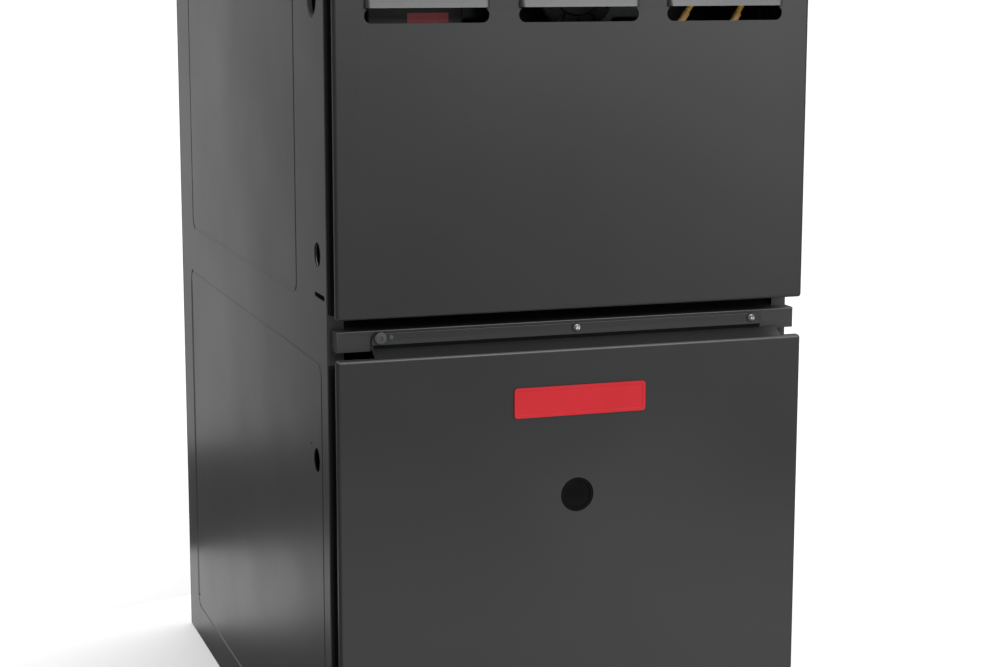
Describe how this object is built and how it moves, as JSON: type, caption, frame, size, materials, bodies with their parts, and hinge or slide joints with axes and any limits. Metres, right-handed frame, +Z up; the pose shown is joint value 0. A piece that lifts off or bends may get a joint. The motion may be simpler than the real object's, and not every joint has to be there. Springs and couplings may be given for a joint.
{
  "type": "home furnace",
  "caption": "Upright gas-fired home furnace: sheet-metal casing with a louvered upper door, a lower blower door, burners, tubular heat exchanger, exhaust fan and air blower.",
  "frame": {"origin": "on the floor, under the middle of the box that holds the whole furnace", "axes": "+Z up, the doors face -Y, +X to the right of someone who faces the doors"},
  "size_m": [0.4444, 0.745, 0.8986],
  "materials": {
    "casing_paint": "semi-gloss",
    "door_paint": "semi-gloss",
    "galvanised_steel": "spangled",
    "aluminised_steel": "dull",
    "zinc_plated": "satin",
    "shaft_steel": "ground",
    "black_paint": "matte",
    "cast_aluminium": "as cast",
    "black_plastic": "moulded",
    "grey_plastic": "moulded",
    "red_vinyl": "satin",
    "red_plastic": "moulded",
    "lens": "smoked",
    "ceramic": "fired",
    "circuit_board": "lacquered",
    "hose_rubber": "matte",
    "yellow_insulation": "smooth"
  },
  "bodies": {
    "cabinet": {"left_side_panel": "casing_paint", "right_side_panel": "casing_paint", "back_panel": "casing_paint", "top_panel": "casing_paint", "base_panel": "casing_paint", "front_rail": "casing_paint", "blower_deck": "galvanised_steel", "vestibule_panel": "galvanised_steel", "heat_tube_1": "aluminised_steel", "heat_tube_2": "aluminised_steel", "heat_tube_3": "aluminised_steel", "heat_tube_4": "aluminised_steel", "collector_box": "aluminised_steel", "inducer_housing": "black_paint", "inducer_motor": "black_paint", "vent_collar": "galvanised_steel", "burner_1": "aluminised_steel", "burner_2": "aluminised_steel", "burner_3": "aluminised_steel", "burner_4": "aluminised_steel", "burner_bracket": "galvanised_steel", "gas_manifold": "black_paint", "gas_valve": "cast_aluminium", "igniter": "ceramic", "flame_sensor": "ceramic", "rollout_switch": "galvanised_steel", "limit_switch": "black_plastic", "pressure_switch": "grey_plastic", "pressure_hose": "hose_rubber", "limit_wire": "yellow_insulation", "rollout_wire": "yellow_insulation", "blower_side_left": "galvanised_steel", "blower_side_right": "galvanised_steel", "blower_scroll": "galvanised_steel", "blower_rail_left": "galvanised_steel", "blower_rail_right": "galvanised_steel", "blower_motor": "black_paint", "motor_bracket": "galvanised_steel", "capacitor": "cast_aluminium", "capacitor_strap": "galvanised_steel", "board_tray": "galvanised_steel", "control_board": "circuit_board", "transformer": "black_paint", "door_switch": "black_plastic", "junction_box": "galvanised_steel", "junction_cover": "galvanised_steel"},
    "upper_door": {"upper_door": "door_paint"},
    "lower_door": {"lower_door": "door_paint", "badge_plate": "red_vinyl", "sight_glass": "lens", "door_screw_left": "zinc_plated", "door_screw_middle": "zinc_plated", "door_screw_right": "zinc_plated"},
    "blower_rotor": {"blower_wheel": "galvanised_steel", "blower_shaft": "shaft_steel"},
    "inducer_rotor": {"inducer_wheel": "aluminised_steel", "inducer_shaft": "shaft_steel"},
    "valve_knob": {"gas_valve_knob": "black_plastic"},
    "interlock_plunger": {"door_switch_plunger": "grey_plastic"},
    "reset_button": {"rollout_reset_button": "red_plastic"}
  },
  "joints": [
    {"name": "upper_door_lift_off", "type": "slide", "parent": "cabinet", "child": "upper_door", "axis": [0, -1, 0], "range_m": [0, 0.3]},
    {"name": "lower_door_lift_off", "type": "slide", "parent": "cabinet", "child": "lower_door", "axis": [0, -1, 0], "range_m": [0, 0.3]},
    {"name": "blower_spin", "type": "hinge", "parent": "cabinet", "child": "blower_rotor", "pos_m": [0, 0.0525, 0.2639], "axis": [1, 0, 0], "continuous": true},
    {"name": "inducer_spin", "type": "hinge", "parent": "cabinet", "child": "inducer_rotor", "pos_m": [0.018, -0.255, 0.7756], "axis": [0, 1, 0], "continuous": true},
    {"name": "gas_knob_turn", "type": "hinge", "parent": "cabinet", "child": "valve_knob", "pos_m": [-0.11795, -0.33, 0.7351], "axis": [0, 1, 0], "range_deg": [0, 90]},
    {"name": "interlock_press", "type": "slide", "parent": "cabinet", "child": "interlock_plunger", "axis": [0, 1, 0], "range_m": [0, 0.003], "stiffness_N_per_m": 300, "springref_m": -0.002},
    {"name": "rollout_reset_press", "type": "slide", "parent": "cabinet", "child": "reset_button", "axis": [0, 1, 0], "range_m": [0, 0.0015], "stiffness_N_per_m": 500}
  ]
}
